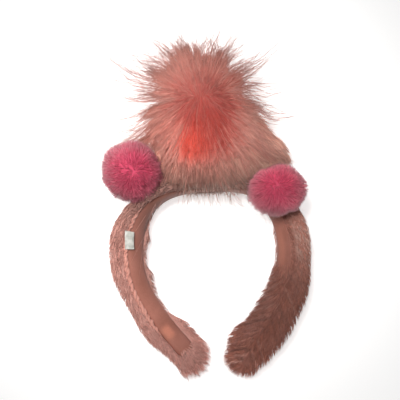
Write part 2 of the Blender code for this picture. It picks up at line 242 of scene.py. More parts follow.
# The fur's fibres: how many the fan and the skirt each have and how thick they are, how many
# unlike locks they lie in, and in how many tiers
FUR_FIBRES = 8300
FUR_FIBRE = 0.00015
LOCKS = 997
TIERS = 4

# Long hairs in thin wisps, and how far out of the box they may reach
STRAY_HAIRS = 2300
WISPS = 170
STRAY_ROOM = 0.0125

# Nothing goes under this height
FLOOR = 0.0004

# How far the dense fur reaches from its crown: degrees from +X, metres
FUR_REACH = (
    (0, 0.029),
    (11, 0.032),
    (24, 0.036),
    (40, 0.034),
    (54, 0.034),
    (64, 0.039),
    (75, 0.039),
    (99, 0.044),
    (113, 0.044),
    (126, 0.042),
    (140, 0.039),
    (153, 0.038),
    (165, 0.035),
    (175, 0.031),
    (183, 0.023),
    (190, 0.048),
    (196, 0.044),
    (204, 0.053),
    (212, 0.064),
    (219, 0.056),
    (227, 0.051),
    (240, 0.054),
    (252, 0.057),
    (270, 0.060),
    (290, 0.060),
    (310, 0.058),
    (328, 0.055),
    (338, 0.051),
    (350, 0.046),
    (357, 0.033),
)

# Where the fur glows red, and where it is deepest: centre, radius
GLOW_PATCH = ((-0.0115, 0.007), 0.0145)
DEEP_PATCH = ((0.002, 0.022), 0.030)

# Pompoms: centre, half sizes, and the point of the front that the pile parts from
POMPOMS = {
    "left_pompom": ((-0.0598, -0.0062, 0.0380), (0.0248, 0.0252, 0.0248), (-0.054, -0.013, 0.062)),
    "right_pompom": ((0.0529, -0.0296, 0.0475), (0.0232, 0.0206, 0.0222), (0.050, -0.028, 0.069)),
}

# The pompoms' pile
POMPOM_FIBRES = 7000
POMPOM_PILE = 0.0050
POMPOM_FIBRE = 0.00016

# Painted light on each pompom's pile as a brightness, how much paler its dye is, and the side on
# which it is longest
POMPOM_PILE_AND_PAINTED_LIGHT = {
    "left_pompom": (0.90, 0.07, (0.62, -0.78, 0.10)),
    "right_pompom": (1.14, 0.20, (-0.80, -0.40, 0.00)),
}


class Value:
    """A shader socket that takes part in sums."""

    def __init__(self, finish, socket):
        self.finish = finish
        self.socket = socket

    def _sum(self, operation, *values):
        return self.finish.node("ShaderNodeMath", {"operation": operation}, dict(enumerate(values)))

    def __add__(self, other):
        return self._sum("ADD", self, other)

    def __radd__(self, other):
        return self._sum("ADD", other, self)

    def __mul__(self, other):
        return self._sum("MULTIPLY", self, other)

    def __rmul__(self, other):
        return self._sum("MULTIPLY", other, self)

    def clamp(self):
        made = self._sum("ADD", self, 0.0)
        made.socket.node.use_clamp = True
        return made


class Finish:
    """A material of the headband and its shader nodes."""

    def __init__(self, name, uniform):
        self.material = bpy.data.materials.new(name)
        self.material.use_nodes = True
        self.tree = self.material.node_tree
        self.shader = self.tree.nodes["Principled BSDF"]
        for socket, value in uniform.items():
            self.shader.inputs[socket].default_value = value

    def node(self, kind, settings, inputs, output=0):
        made = self.tree.nodes.new(kind)
        for key, value in settings.items():
            if key == "stops":
                self._stops(made.color_ramp, value)
            else:
                setattr(made, key, value)
        for key, value in inputs.items():
            self.feed(made.inputs[key], value)
        return Value(self, made.outputs[output])

    def _stops(self, ramp, stops):
        while len(ramp.elements) < len(stops):
            ramp.elements.new(0.5)
        for element, (position, colour) in zip(ramp.elements, stops):
            element.position = position
            element.color = (*colour, 1.0)

    def feed(self, socket, value):
        if isinstance(value, Value):
            self.tree.links.new(value.socket, socket)
        else:
            socket.default_value = value

    def attribute(self, name):
        return self.node("ShaderNodeAttribute", {"attribute_name": name}, {}, "Fac")

    def ramp(self, value, stops):
        return self.node("ShaderNodeValToRGB", {"stops": stops}, {0: value})

    def mix(self, share, first, second):
        settings = {"data_type": "RGBA", "blend_type": "MIX"}
        return self.node("ShaderNodeMix", settings, {0: share, 6: first, 7: second}, 2)

    def scaled(self, colour, value):
        return self.node("ShaderNodeVectorMath", {"operation": "SCALE"}, {0: colour, 3: value})

    def place(self):
        return self.node("ShaderNodeTexCoord", {}, {}, "Object")

    def noise(self, scale, detail=3.0):
        inputs = {"Scale": scale, "Detail": detail, "Vector": self.place()}
        return self.node("ShaderNodeTexNoise", {}, inputs, "Fac")

    def bump(self, height, strength, distance):
        inputs = {"Height": height, "Strength": strength, "Distance": distance}
        self.feed(self.shader.inputs["Normal"], self.node("ShaderNodeBump", {}, inputs))

    def base(self, colour):
        self.feed(self.shader.inputs["Base Color"], colour)


def rgba(colour):
    return (*colour, 1.0)


def pile_finish(name, pale, deep, glow, roughness, root=0.88):
    """Fibres: pale where their dye is 0 and deep where it is 1, and of a third colour where they
    glow. Each has its own brightness, times the painted shade of its place, and is darker at its
    root."""
    finish = Finish(name, {
        "Roughness": roughness,
        "Specular IOR Level": 0.4,
        "Sheen Weight": 0.1,
        "Sheen Roughness": 0.5,
    })
    colour = finish.mix(finish.attribute("dye"), rgba(pale), rgba(deep))
    colour = finish.mix(finish.attribute("glow"), colour, rgba(glow))
    depth = root + (1 - root) * finish.attribute("along")
    own = finish.attribute("shade") * (0.89 + 0.22 * finish.attribute("strand"))
    finish.base(finish.scaled(colour, depth * own))
    return finish.material


def backing_finish(name, pale, deep, scale):
    """The cloth under a pile, in the colours of the pile, with clumps of dark and light, and the
    painted shade of its place.
    """
    finish = Finish(name, {"Roughness": 0.9, "Sheen Weight": 0.3})
    clumps = finish.noise(scale)
    colour = finish.mix(finish.attribute("dye"), rgba(pale), rgba(deep))
    finish.base(finish.scaled(colour, finish.attribute("shade") * (0.88 + 0.18 * clumps)))
    finish.bump(clumps + 0.5 * finish.noise(scale * 4.0), 0.3, 0.0006)
    return finish.material


def add_piece(name, mesh, material, nodes=()):
    """A shown piece of the headband in the frame."""
    piece = bpy.data.objects.new(name, mesh)
    bpy.context.scene.collection.objects.link(piece)
    mesh.materials.clear()
    mesh.materials.append(material)
    mesh.shade_smooth()
    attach(piece, "root")
    if nodes:
        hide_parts(*nodes)
    return piece


def unit(vectors):
    return vectors / np.maximum(np.linalg.norm(vectors, axis=-1, keepdims=True), 1e-12)


def random_units(chance, *shape):
    return unit(chance.normal(size=(*shape, 3)))


def wrapped(table, degrees):
    """Values of a table of angles at any angles, all the way round."""
    angles = [row[0] for row in table] + [table[0][0] + 360]
    values = [row[1] for row in table] + [table[0][1]]
    return np.interp(np.mod(degrees, 360), angles, values)


def fibre_mesh(name, paths, thickness, taper, facts):
    """Closed three-sided fibres along paths, joined in one mesh. Each one ends in a point.
    A fact has a value for each fibre, or for each step of each fibre."""
    count, steps, _ = paths.shape
    run = unit(np.gradient(paths, axis=1))
    guide = random_units(np.random.default_rng(5), count, 1)
    side = unit(np.cross(run, guide))
    other = np.cross(run, side)
    along = np.linspace(0.0, 1.0, steps)
    width = thickness[:, None] * (1 - (1 - taper) * along[None, :-1] ** 1.5)
    rings = []
    for k in range(3):
        turn = 2 * math.pi * k / 3
        spoke = math.cos(turn) * side[:, :-1] + math.sin(turn) * other[:, :-1]
        rings.append(paths[:, :-1] + width[..., None] * spoke)
    body = np.stack(rings, axis=2).reshape(count, (steps - 1) * 3, 3)
    verts = np.concatenate([body, paths[:, -1:]], axis=1)
    each = verts.shape[1]
    faces = [(0, 2, 1)]
    for ring in range(steps - 2):
        for k in range(3):
            a = 3 * ring + k
            b = 3 * ring + (k + 1) % 3
            faces += [(a, b, b + 3), (a, b + 3, a + 3)]
    last = 3 * (steps - 2)
    faces += [(last + k, last + (k + 1) % 3, each - 1) for k in range(3)]
    faces = (np.array(faces)[None] + each * np.arange(count)[:, None, None]).reshape(-1, 3)
    mesh = bpy.data.meshes.new(name)
    mesh.from_pydata(verts.reshape(-1, 3), [], faces)
    plain = {"along": np.broadcast_to(along, (count, steps)), "glow": np.zeros(count)}
    facts = {**plain, "shade": np.ones(count), **facts}
    for key, value in facts.items():
        value = np.broadcast_to(value.reshape(count, -1), (count, steps))
        rings = np.repeat(value[:, :-1], 3, axis=1)
        write_fact(mesh, key, np.concatenate([rings, value[:, -1:]], axis=1))
    return mesh


def write_fact(mesh, name, values):
    """A value for each point of a mesh, for its finish to read."""
    layer = mesh.attributes.new(name, "FLOAT", "POINT")
    layer.data.foreach_set("value", np.asarray(values, np.float32).ravel())


def evaluated_mesh(obj):
    graph = bpy.context.evaluated_depsgraph_get()
    return bpy.data.meshes.new_from_object(obj.evaluated_get(graph))


def padding(node, name, voxel, rounds, lump, lump_size):
    """The soft body under a pile: a solid's mesh made even, rounded and a little lumpy."""
    rough = bpy.data.objects.new(name + "_rough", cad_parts[node].data.copy())
    bpy.context.scene.collection.objects.link(rough)
    even = rough.modifiers.new("even", "REMESH")
    even.mode = "VOXEL"
    even.voxel_size = voxel
    round_off = rough.modifiers.new("rounded", "SMOOTH")
    round_off.iterations = rounds
    mesh = evaluated_mesh(rough)
    bpy.data.objects.remove(rough)
    mesh.name = name
    verts, normals = verts_and_normals(mesh)
    for i, (point, normal) in enumerate(zip(verts, normals)):
        verts[i] = point + normal * lump * noise.noise(Vector(point) / lump_size)
    verts[:, 2] = np.maximum(verts[:, 2], 0.0)
    mesh.vertices.foreach_set("co", verts.astype(np.float32).ravel())
    mesh.update()
    return mesh


def verts_and_normals(mesh):
    verts = np.empty(len(mesh.vertices) * 3, np.float32)
    mesh.vertices.foreach_get("co", verts)
    normals = np.empty(len(mesh.vertices) * 3, np.float32)
    mesh.vertex_normals.foreach_get("vector", normals)
    return verts.reshape(-1, 3).astype(float), normals.reshape(-1, 3).astype(float)


def scatter(mesh, count, chance):
    """Random points all over a mesh, even by area, with their normals."""
    verts, normals = verts_and_normals(mesh)
    mesh.calc_loop_triangles()
    corners = np.empty(len(mesh.loop_triangles) * 3, np.int32)
    mesh.loop_triangles.foreach_get("vertices", corners)
    corners = corners.reshape(-1, 3)
    a, b, c = (verts[corners[:, k]] for k in range(3))
    area = np.linalg.norm(np.cross(b - a, c - a), axis=1)
    pick = chance.choice(len(area), size=count, p=area / area.sum())
    u, v = chance.random(count), chance.random(count)
    flip = u + v > 1
    u[flip], v[flip] = 1 - u[flip], 1 - v[flip]
    weights = np.stack([1 - u - v, u, v], axis=1)[..., None]
    points = (verts[corners[pick]] * weights).sum(1)
    return points, unit((normals[corners[pick]] * weights).sum(1))


def bent_paths(roots, directions, bends, lengths, steps):
    """Fibres that leave along a direction and bend on their way."""
    t = np.linspace(0.0, 1.0, steps)[None, :, None]
    length = lengths[:, None, None]
    paths = roots[:, None] + length * (t * directions[:, None] + t * t * bends[:, None])
    paths[..., 2] = np.maximum(paths[..., 2], FLOOR)
    return paths


def smooth_points(controls, per_span):
    """Points on a smooth curve through the control points."""
    controls = np.array(controls)
    ends = 2 * controls[0] - controls[1], 2 * controls[-1] - controls[-2]
    padded = [ends[0], *controls, ends[1]]
    points = []
    for a, b, c, d in zip(padded, padded[1:], padded[2:], padded[3:]):
        for t in np.arange(per_span) / per_span:
            points.append(0.5 * (
                2 * b + (c - a) * t
                + (2 * a - 5 * b + 4 * c - d) * t * t
                + (3 * b - a - 3 * c + d) * t ** 3
            ))
    return np.array([*points, controls[-1]])


class BandRoute:
    """The middle line of the band: point and frame at a share of each half."""

    def __init__(self):
        half = [(a * BAND_HALF_SPAN, -d * BAND_DROP) for a, d in BAND_ROUTE]
        controls = np.array([(-x, y) for x, y in reversed(half[1:])] + half)
        first = controls[0] - controls[1]
        last = controls[-1] - controls[-2]
        controls = [
            controls[0] + first / np.linalg.norm(first) * PLUSH_FRINGE,
            *controls,
            controls[-1] + last / np.linalg.norm(last) * PLUSH_FRINGE,
        ]
        self.line = smooth_points(controls, 16)
        steps = np.linalg.norm(np.diff(self.line, axis=0), axis=1)
        self.lengths = np.concatenate([[0], np.cumsum(steps)])
        self.middle = self.lengths[-1] / 2
        self.half_length = self.middle - PLUSH_FRINGE
        self.last = self.middle / self.half_length

    def points(self, shares):
        where = self.middle + np.clip(shares, -self.last, self.last) * self.half_length
        x, y = (np.interp(where, self.lengths, self.line[:, k]) for k in range(2))
        left = np.clip(-np.asarray(shares) / SPREAD_SHARE, 0, 1)
        x = x - LEFT_SPREAD * left * left * (3 - 2 * left)
        rise = y * (CROWN_HEIGHT - TIP_HEIGHT) / BAND_DROP
        return np.stack([x, y + STRIP_FACE - SEAT_DEPTH, CROWN_HEIGHT + rise], axis=-1)

    def frames(self, shares):
        """Centre, run, across and inward of the band at each share."""
        shares = np.asarray(shares, float)
        run = unit(self.points(shares + 0.01) - self.points(shares - 0.01))
        outward = unit(np.stack([-run[:, 1], run[:, 0], 0 * run[:, 0]], axis=1))
        up = np.cross(run, outward)
        at, degrees = zip(*BAND_TWIST)
        twist = np.radians(np.interp(abs(shares), at, degrees))[:, None]
        across = outward * np.sin(twist) + up * np.cos(twist)
        inward = -outward * np.cos(twist) + up * np.sin(twist)
        return self.points(shares), run, across, inward

    def nearest(self, points):
        """Share, run, across, inward and sideways distance of the band next to each point."""
        shares = np.linspace(-self.last, self.last, 240)
        centre, run, across, inward = self.frames(shares)
        pick = np.empty(len(points), int)
        for start in range(0, len(points), 4000):
            part = points[start:start + 4000]
            gap = ((part[:, None] - centre[None]) ** 2).sum(-1)
            pick[start:start + 4000] = gap.argmin(1)
        sideways = ((points - centre[pick]) * across[pick]).sum(-1)
        return shares[pick], run[pick], across[pick], inward[pick], sideways


ROUTE = BandRoute()


def band_tone_and_painted_shade(share, swirl):
    """The band's pile: paler on the left arm and deeper on the right one, partly its own colour and
    partly painted shade.
    """
    return np.clip(0.46 + 0.42 * np.clip(1.6 * share, -1, 1) + 0.30 * swirl, 0, 1)


def painted_shading_along(table, share):
    """Painted light and shade along the band, read from a table by share."""
    return np.interp(share, *zip(*table))


def streaks(share, side):
    """Light and dark locks side by side along the band, slanting away from its parting towards
    the tips, from -1 to 1."""
    start = share - 1.1 * np.sign(share) * abs(side) / ROUTE.half_length
    return np.array([noise.noise(Vector((62.0 * s, w, 9.0))) for s, w in zip(start, np.sign(side))])


def swirls(points, normals, size):
    """A smooth random vector along the surface at each point, which turns over about size."""
    noise.seed_set(SWIRL_SEED)
    swirl = np.array([noise.noise_vector(Vector(p) / size) for p in points])
    return swirl - normals * (swirl * normals).sum(-1, keepdims=True)


def band_pieces():
    """The padded band: its body and the short pile on both borders and the outside."""
    pale, deep = (0.64, 0.340, 0.292), (0.43, 0.158, 0.110)
    mesh = padding("band_plush", "band_padding", 0.0015, 6, 0.0005, 0.009)
    points, normals = verts_and_normals(mesh)
    share, run, *_ = ROUTE.nearest(points)
    points += run * (TIP_TUCK * np.clip((-share - TIP_TUCK_AT) / 0.08, 0, 1))[:, None]
    mesh.vertices.foreach_set("co", points.astype(np.float32).ravel())
    mesh.update()
    write_fact(mesh, "dye", band_tone_and_painted_shade(share, 0.0))
    # Painted shade along the plush, a little darker on the body under the pile
    write_fact(mesh, "shade", 0.90 * painted_shading_along(PLUSH_PAINTED_SHADE, share))
    body = add_piece("band_padding", mesh, backing_finish("plush backing", pale, deep, 260.0),
                     ["band_plush"])
    chance = np.random.default_rng(11)
    points, normals = scatter(mesh, 3 * BAND_FIBRES, chance)
    share, run, across, inward, sideways = ROUTE.nearest(points)
    facing = (normals * inward).sum(-1)
    in_channel = (abs(sideways) < STRIP_WIDTH / 2 + 0.0004) & (facing > 0.2) & (abs(share) < 0.99)
    in_mound = (abs(points[:, 0]) < HIDDEN_HALF) & (points[:, 1] > -0.034) & (normals[:, 1] > -0.3)
    under = (normals[:, 2] < -0.3) & (chance.random(len(points)) < 0.5)
    keep = np.flatnonzero(~in_channel & ~in_mound & ~under)[:BAND_FIBRES]
    more = [over_strip(chance, *row) for row in OVER_STRIP]
    points = np.concatenate([points[keep]] + [part[0] for part in more])
    normals = np.concatenate([normals[keep]] + [part[1] for part in more])
    share, run, across, inward, sideways = ROUTE.nearest(points)
    count = len(points)
    shaggy = np.clip((share - SHAGGY_AT) / SHAGGY_RISE, 0, 1)
    spine = sideways - SPINE * shaggy
    to_tip = run * np.sign(share)[:, None]
    away = across * np.clip(spine / 0.006, -1, 1)[:, None]
    swirl = swirls(points, normals, 0.011)
    streak = streaks(share, spine)
    fringe = np.clip((abs(share) - FRINGE_AT) / (1 - FRINGE_AT), 0, 1)
    ruffled = (0.05 + 0.21 * shaggy + 0.15 * fringe * (1 - shaggy))[:, None]
    away = away + across * (1.2 * fringe * (1 - shaggy) * streak)[:, None]
    direction = unit(0.42 * normals + (0.34 + 0.50 * shaggy)[:, None] * away + 0.9 * to_tip
                     + ruffled * swirl + 0.05 * random_units(chance, count))
    bend = 0.25 * to_tip - 0.06 * normals + 0.4 * ruffled * swirl
    tufts = fringe * (1 - shaggy) * (1 + 2 * streak)
    lengths = BAND_PILE * chance.uniform(0.7, 1.2, count)
    lengths *= 1 + 0.5 * tufts + (0.4 - 0.4 * fringe) * shaggy
    # Painted shade on the left arm's head-side border
    inner_border_shade = np.clip(-sideways / 0.008, 0, 1) * np.clip((share + 0.80) / 0.1, 0, 1) * (share < 0)
    outer = np.clip((sideways - 0.007) / 0.004, 0, 1)
    silver = outer * np.exp(-((share - SILVER_AT) / SILVER_SPREAD) ** 2)
    paths = bent_paths(points + 0.0001 * normals, direction, bend, lengths, 3)
    facts = {
        "strand": chance.random(count),
        "dye": band_tone_and_painted_shade(share, swirl[:, 0] + 0.5 * streak + 0.1 * chance.normal(size=count))
        - 0.4 * fringe * (1 - shaggy),
        "glow": np.clip(silver * (0.6 + 1.2 * streak) + shaggy * (1.6 * streak - 0.25), 0, 0.8),
        # Painted shade along the plush, and on the left arm's head-side border
        "shade": painted_shading_along(PLUSH_PAINTED_SHADE, share) * (1.10 - 0.35 * inner_border_shade + 0.25 * silver)
        * (1 + (0.06 + 0.60 * shaggy) * streak),
    }
    mesh = fibre_mesh("band_pile", paths, np.full(count, BAND_FIBRE), 0.4, facts)
    add_piece("band_pile", mesh, pile_finish("plush pile", pale, deep, SILVER, 0.65))


def over_strip(chance, count, shares, sides):
    """Points on the face of the smooth strip and its edges, with their normals. Sides are from
    -1, the strip's back edge, to 1, its front edge."""
    shares = shares[0] + (shares[1] - shares[0]) * chance.random(count) ** 0.7
    centre, run, across, inward = ROUTE.frames(shares)
    w = chance.uniform(*sides, count)[:, None]
    full = np.clip(1 - w * w, 0, 1) ** 0.4
    lift = np.maximum(STRIP_LOW + (STRIP_HIGH - STRIP_LOW) * full, BORDER_TOP - 0.0006)
    return centre + across * w * STRIP_WIDTH / 2 + inward * lift, unit(0.6 * w * across + inward)


def seam_piece():
    """The gathered edge of the plush beside the strip: two soft folds wound round each other."""
    pale, deep = (0.62, 0.29, 0.235), (0.44, 0.17, 0.13)
    rows, columns = 200, 8
    shares = np.linspace(SEAM_FIRST, SEAM_LAST, rows)
    centre, run, across, inward = ROUTE.frames(shares)
    from_end = np.minimum(shares - SEAM_FIRST, SEAM_LAST - shares)
    ends = np.minimum(1, 9 * from_end / (SEAM_LAST - SEAM_FIRST))
    turn = np.linspace(0, 2 * math.pi, columns, endpoint=False)
    verts = []
    dye = []
    faces = []
    for fold in (0.0, math.pi):
        faces += [tuple(len(verts) + k for k in face) for face in tube_faces(rows, columns)]
        for i, share in enumerate(shares):
            slow = noise.noise(Vector((share * 30.0, fold, 1.0)))
            quick = noise.noise(Vector((share * 75.0, fold, 4.0)))
            winding = 110.0 * share + 3.0 * slow + fold
            size = SEAM_FOLD * ends[i] * (0.85 + 0.5 * slow + 0.4 * quick) + 0.0001
            out = STRIP_WIDTH / 2 + SEAM_FOLD * (1 + ends[i] * math.cos(winding))
            high = BORDER_TOP - 0.0001 + 0.4 * SEAM_FOLD * ends[i] * math.sin(winding)
            for angle in turn:
                verts.append(
                    centre[i]
                    + across[i] * (out + 1.3 * size * math.cos(angle))
                    + inward[i] * (high + size * math.sin(angle))
                )
                # Paler on top of each fold and deeper underneath: painted shade
                dye.append(0.45 - 1.0 * quick - 0.3 * math.sin(angle))
    mesh = bpy.data.meshes.new("left_seam")
    mesh.from_pydata(verts, [], faces)
    write_fact(mesh, "dye", np.clip(dye, 0, 1))
    # Painted shade along the plush
    write_fact(mesh, "shade", np.tile(np.repeat(painted_shading_along(PLUSH_PAINTED_SHADE, shares), columns), 2))
    add_piece("left_seam", mesh, backing_finish("seam cloth", pale, deep, 420.0))


def tube_faces(rows, columns):
    """Faces of a closed tube of rows rings."""
    faces = []
    for i in range(rows - 1):
        for k in range(columns):
            a, b = i * columns + k, i * columns + (k + 1) % columns
            faces.append((a, a + columns, b + columns, b))
    faces.append(tuple(range(columns)))
    faces.append(tuple(reversed(range((rows - 1) * columns, rows * columns))))
    return faces


def strip_finish():
    """Rose velour: fine grain and soft rubs along the middle, painted shade towards the seams and
    along and across the strip, and salmon patches at the tuck and on the right arm.
    """
    finish = Finish("strip velour", {
        "Roughness": 0.72,
        "Sheen Weight": 0.15,
        "Sheen Roughness": 0.4,
        "Specular IOR Level": 0.35,
    })
    nap = finish.noise(900.0, 2.0)
    rubbed = finish.noise(60.0)
    seam = finish.attribute("seam")
    colour = finish.ramp(rubbed, ((0.3, (0.37, 0.14, 0.10)), (0.7, (0.46, 0.185, 0.14))))
    # Painted shade: darker towards both edges, where the strip turns down into the seams
    colour = finish.mix((seam * seam * seam * 0.6).clamp(), colour, rgba((0.30, 0.095, 0.070)))
    colour = finish.mix(finish.attribute("tuck"), colour, rgba((0.66, 0.25, 0.17)))
    # The attribute carries painted shade along and across the strip; the noise is the velour's
    # grain
    finish.base(finish.scaled(colour, finish.attribute("nap") * (0.88 + 0.24 * nap)))
    finish.bump(nap + 0.5 * finish.noise(240.0), 0.25, 0.0003)
    return finish.material


def strip_piece():
    """The smooth strip: a full tube of velour, gathered at both seams, with a tuck by a tip."""
    rows, columns = 240, 18
    shares = np.linspace(-0.98, 0.98, rows)
    centre, run, across, inward = ROUTE.frames(shares)
    taper = np.sqrt(np.clip(1 - np.clip((abs(shares) - 0.935) / 0.045, 0, 1) ** 2, 0.0, 1.0))
    taper = 0.12 + 0.88 * taper
    turn = np.linspace(0.0, math.pi, columns)
    verts = []
    seam = []
    tuck = []
    nap = []
    for i in range(rows):
        light = painted_shading_along(STRIP_PAINTED_SHADE, shares[i])
        painted_side_light = painted_shading_along(STRIP_PAINTED_SIDE_LIGHT, shares[i])
        half = STRIP_WIDTH / 2 * taper[i]
        high = STRIP_HIGH + 0.0004 - STRIP_LOW
        high *= 0.4 + 0.6 * taper[i]
        gather = noise.noise(Vector((shares[i] * 75.0, 0.0, 7.0)))
        for angle in turn:
            w = math.cos(angle)
            dimple = noise.noise(Vector((shares[i] * 16.0, w * 1.1, 3.0)))
            pucker = gather * abs(w) ** 4
            near = math.exp(-((shares[i] - TUCK_AT) / 0.030) ** 4 - ((w - 0.35) / 0.5) ** 4)
            lift = STRIP_LOW + high * math.sin(angle) ** 0.8 * (1 + 0.08 * dimple - 0.15 * near)
            lift += 0.0005 * pucker * math.sin(angle)
            out = w * half * (1.0 - 0.05 * pucker)
            verts.append(centre[i] + across[i] * out + inward[i] * lift)
            # Painted shade towards the seams, rising faster towards the back edge
            seam.append(abs(w) ** (2.2 if w > 0 else 1.3))
            off = ((shares[i] - SALMON_PATCH_AT) / 0.09) ** 4 + ((w + 0.35) / 0.45) ** 4
            tuck.append(near + 0.6 * math.exp(-off))
            # Painted shade along the strip, lighter towards its front edge and darker towards its
            # back edge
            nap.append(light * (1 + painted_side_light * (w - 0.3)))
        for angle in turn[-2:0:-1]:
            verts.append(centre[i] + across[i] * (math.cos(angle) * half) + inward[i] * STRIP_LOW)
            seam.append(1.0)
            tuck.append(0.0)
            nap.append(light)
    mesh = bpy.data.meshes.new("strip_velour")
    mesh.from_pydata(verts, [], tube_faces(rows, 2 * columns - 2))
    write_fact(mesh, "seam", seam)
    write_fact(mesh, "nap", nap)
    write_fact(mesh, "tuck", tuck)
    piece = add_piece("strip_velour", mesh, strip_finish(), ["inner_strip"])


def fur_dye(x, y):
    """How deep the dye of the long fur is over a place."""
    (cx, cy), radius = DEEP_PATCH
    far = np.hypot(x - cx, 0.85 * (y - cy)) / radius
    flank = np.clip((abs(x - cx) - 0.018) / 0.020, 0, np.where(x > cx, 1.0, 0.4))
    flank = flank * np.clip((0.045 - y) / 0.015, 0, 1)
    low = np.clip((0.004 - y) / 0.018, 0, 1)
    depth = 0.56 + 0.50 * np.exp(-far ** 2) - 0.34 * np.clip(far - 1.2, 0, 1)
    return np.clip(depth - 0.60 * flank - 0.45 * low, 0, 1)


def fur_glow(x, y):
    """How much the long fur and the mound under it glow red over a place."""
    (cx, cy), radius = GLOW_PATCH
    patch = 0.75 * np.exp(-(np.hypot(x - cx, y - cy) / radius) ** 2)
    return patch * np.clip((y + 0.014) / 0.012, 0, 1)


def fur_painted_shade(x, y):
    """Painted shade on the fur: darker round its parting and on the right of its front, where it
    lies deeper, and towards its top.
    """
    far = np.hypot(0.6 * (x - FUR_CROWN[0]), y - FUR_CROWN[1]) / 0.018
    front = np.hypot(x - 0.009, 0.8 * (y - 0.018)) / 0.016
    top = np.clip((y - 0.056) / 0.02, 0, 1)
    return 1 - 0.24 * np.exp(-far ** 2) - 0.32 * np.exp(-front ** 2) - 0.20 * top


def mound_dye(points):
    """The mound's pile: coral next to the fur, and pale at the flanks and below."""
    out = np.hypot(points[..., 0] + 0.006, 1.1 * (points[..., 1] - 0.010)) / 0.045
    return np.clip(1.0 - 0.85 * out, 0, 1)


def mound_painted_shade(points):
    """Painted light and shade on the mound's pile: brighter on the right flank and darker towards
    the head.
    """
    low = np.clip((0.004 - points[..., 1]) / 0.024, 0, 1)
    right = np.clip((points[..., 0] - 0.018) / 0.028, 0, 1)
    return 1.04 - 0.50 * low + 0.32 * right * (1 - 0.5 * low)


def mound_pieces():
    """The stuffed mound and its soft, long pile, combed away from the crown of the fur."""
    pale, deep = (0.75, 0.46, 0.365), (0.70, 0.14, 0.105)
    mesh = padding("crown_mound", "mound_padding", 0.0018, 4, 0.0010, 0.014)
    points, normals = verts_and_normals(mesh)
    write_fact(mesh, "dye", mound_dye(points))
    # Painted shade: the body under the pile is darker than the pile, so gaps between fibres read as
    # shade
    write_fact(mesh, "shade", 0.78 * mound_painted_shade(points))
    body = add_piece("mound_padding", mesh, backing_finish("mound backing", pale, deep, 220.0),
                     ["crown_mound"])
    chance = np.random.default_rng(21)
    points, normals = scatter(mesh, 2 * MOUND_FIBRES, chance)
    hidden = (points[:, 2] < 0.002) | ((normals[:, 1] < -0.9) & (abs(points[:, 0]) < HIDDEN_HALF))
    keep = np.flatnonzero(~hidden)[:MOUND_FIBRES]
    points, normals = points[keep], normals[keep]
    count = len(points)
    flow = points - np.array((*FUR_CROWN, 0.045))
    flow = unit(flow - normals * (flow * normals).sum(-1, keepdims=True))
    swirl = swirls(points, normals, 0.016)
    direction = unit(0.14 * normals + flow + 0.09 * swirl + 0.05 * random_units(chance, count))
    bend = -0.10 * normals + 0.07 * swirl + 0.03 * random_units(chance, count)
    low_edge = np.clip((-0.012 - points[:, 1]) / 0.010, 0, 1)
    lengths = MOUND_PILE * chance.uniform(0.6, 1.15, count) * (1 - 0.6 * low_edge)
    paths = bent_paths(points - 0.0004 * normals, direction, bend, lengths, 4)
    facts = {
        "strand": chance.random(count),
        "dye": np.clip(mound_dye(paths) + 0.12 * chance.normal(size=(count, 1)), 0, 1),
        "glow": 0.6 * fur_glow(paths[..., 0], paths[..., 1]),
        "shade": mound_painted_shade(paths),
    }
    mesh = fibre_mesh("mound_pile", paths, np.full(count, MOUND_FIBRE), 0.45, facts)
    finish = pile_finish("mound pile", pale, deep, (0.80, 0.13, 0.075), 0.55)
    add_piece("mound_pile", mesh, finish)
    roots = points[(points[:, 1] < -0.019) & (points[:, 2] > 0.030)][:HANGING_HAIRS]
    count = len(roots)
    hang = unit(np.array((0.0, -1.0, -0.25)) + 0.30 * random_units(chance, count))
    lengths = chance.uniform(0.008, 0.026, count)
    paths = bent_paths(roots, hang, 0.25 * random_units(chance, count), lengths, 5)
    facts = {"strand": chance.random(count), "dye": chance.random(count)}
    mesh = fibre_mesh("hanging_hairs", paths, np.full(count, HANGING_HAIR), 0.3, facts)
    brown = (0.34, 0.22, 0.18)
    finish = pile_finish("hanging hair", (0.45, 0.32, 0.27), brown, brown, 0.5)
    add_piece("hanging_hairs", mesh, finish)


def mound_top(x, y):
    """Height of the mound's front, falling past its outline."""
    dx = x - MOUND_CENTRE_X
    edge = MOUND_HALF_WIDTH * wrapped(MOUND_OUTLINE, np.degrees(np.arctan2(y, dx)))
    out = np.hypot(dx, y) / edge
    front = CROWN_HEIGHT + MOUND_DEPTH * np.sqrt(np.clip(1 - out ** 2, 0, 1))
    return front - 0.12 * np.clip(out - 1, 0, 1)


def fur_top(angle, share):
    """Points of the top of the fur: degrees round the crown, share of the reach."""
    turn = np.radians(angle)
    reach = wrapped(FUR_REACH, angle) * share
    x = FUR_CROWN[0] + np.cos(turn) * (reach + PARTING * (1 - np.clip(share, 0, 1)))
    y = FUR_CROWN[1] + np.sin(turn) * reach
    fan = np.clip(0.5 + np.sin(turn), 0, 1)
    middle = SKIRT_MIDDLE + (FAN_MIDDLE - SKIRT_MIDDLE) * fan
    dome = middle + (FUR_TOP - middle) * fullness(x, y)
    lying = mound_top(x, y) + 0.0022 + 0.0025 * (1 - np.clip(share, 0, 1))
    z = (dome + lying + np.sqrt((dome - lying) ** 2 + 0.004 ** 2)) / 2
    return np.stack([x, y, z], axis=-1)


def fullness(x, y):
    """How full the fur is over a place: 1 at its parting, and little at its edge."""
    far = np.hypot(x - FUR_CROWN[0], y - FUR_CROWN[1]) / FUR_DOME
    return np.sqrt(np.clip(1 - (0.9 * far) ** 2, 0.03, 1))


